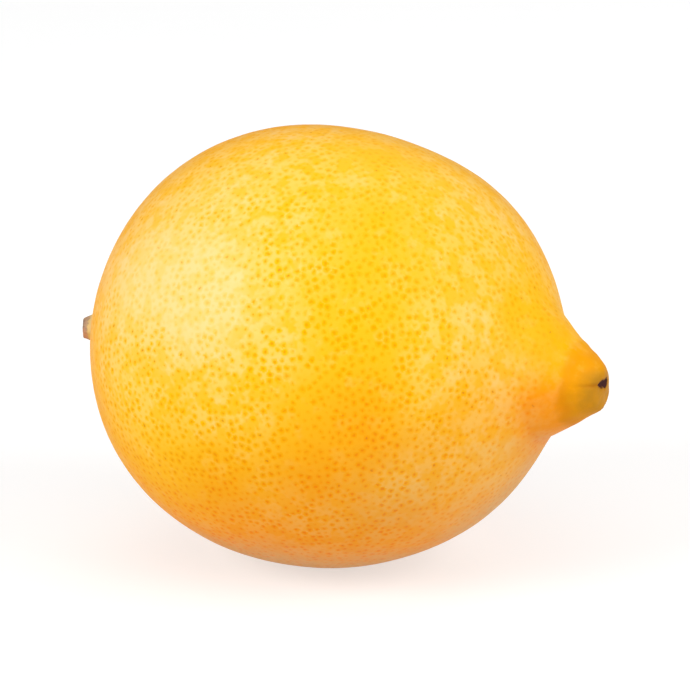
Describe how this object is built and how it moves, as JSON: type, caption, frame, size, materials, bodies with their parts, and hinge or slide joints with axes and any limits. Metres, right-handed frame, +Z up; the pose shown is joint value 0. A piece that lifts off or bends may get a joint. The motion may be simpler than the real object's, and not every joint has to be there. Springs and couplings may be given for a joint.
{
  "type": "lemon",
  "caption": "Whole ripe yellow lemon lying on its side, with a blunt nipple at one end and a cut stem stub in its calyx at the other.",
  "frame": {"origin": "under the middle of the whole lemon, on the plane of the flat spot that it rests on", "axes": "+Z up from the resting surface, +X along the fruit from the stem end towards the nipple"},
  "size_m": [0.0784, 0.0616, 0.0616],
  "materials": {
    "peel": "waxy satin citrus rind, deep lemon yellow shading to orange, covered in fine darker oil glands",
    "calyx": "dry, matt, olive to straw brown",
    "stem": "dry, matt, woody, straw beside the fruit and red-brown at the cut end"
  },
  "bodies": {
    "root": {"fruit": "peel", "calyx": "calyx", "stem": "stem"}
  },
  "joints": []
}
